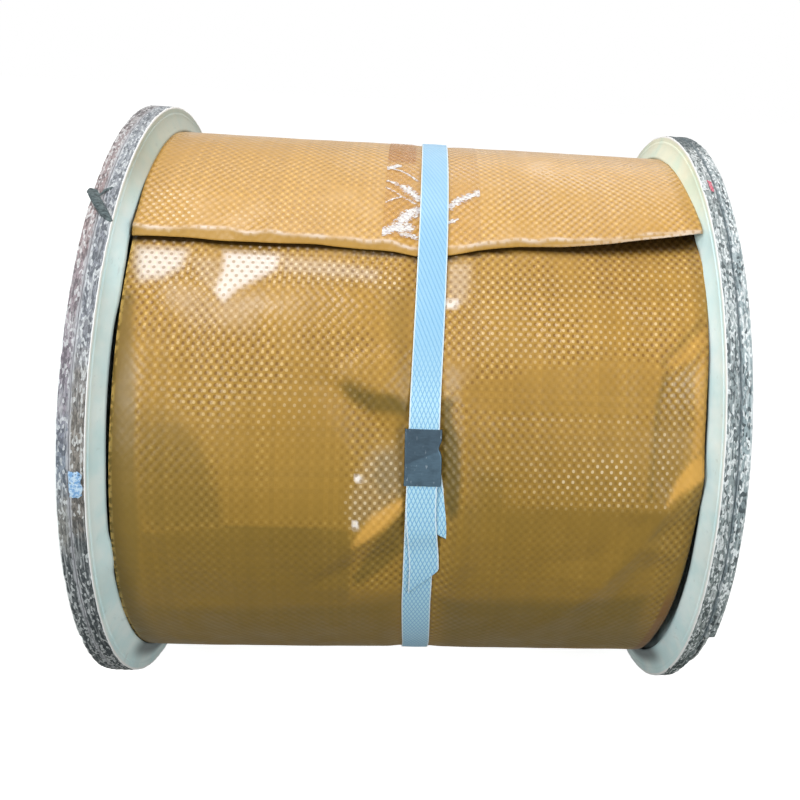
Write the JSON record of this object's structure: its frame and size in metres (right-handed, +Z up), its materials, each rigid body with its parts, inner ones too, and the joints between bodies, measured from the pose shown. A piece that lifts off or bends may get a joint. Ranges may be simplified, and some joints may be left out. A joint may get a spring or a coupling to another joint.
{
  "type": "wrapped reel of coated wire rope",
  "caption": "Small wooden reel of plastic-coated wire rope, wrapped in woven plastic sheet and held by a plastic strap with a steel seal.",
  "frame": {"origin": "on the floor under the middle of the reel, which lies on the rims of its flanges", "axes": "+X along the reel's axis towards the right flange, +Z up, -Y towards the front with the strap's seal"},
  "size_m": [0.307, 0.32, 0.32],
  "materials": {
    "inner_board": "weathered board with a pale facing",
    "outer_board": "weathered board",
    "barrel_board": "wound board tube",
    "coated_rope": "black plastic coating",
    "woven_wrap": "semi-gloss woven plastic tapes",
    "clear_tape": "clear packing tape",
    "strap": "embossed plastic strapping",
    "seal_steel": "dull steel",
    "bolt_zinc": "zinc plated"
  },
  "bodies": {
    "root": {"left_inner_board": "inner_board", "right_inner_board": "inner_board", "left_outer_board": "outer_board", "right_outer_board": "outer_board", "barrel": "barrel_board", "rope_winding": "coated_rope", "wrap_sheet": "woven_wrap", "clear_tape": "clear_tape", "strap": "strap", "strap_seal": "seal_steel", "tie_bolt_1": "bolt_zinc", "tie_nut_1": "bolt_zinc", "tie_bolt_2": "bolt_zinc", "tie_nut_2": "bolt_zinc", "tie_bolt_3": "bolt_zinc", "tie_nut_3": "bolt_zinc"}
  },
  "joints": []
}
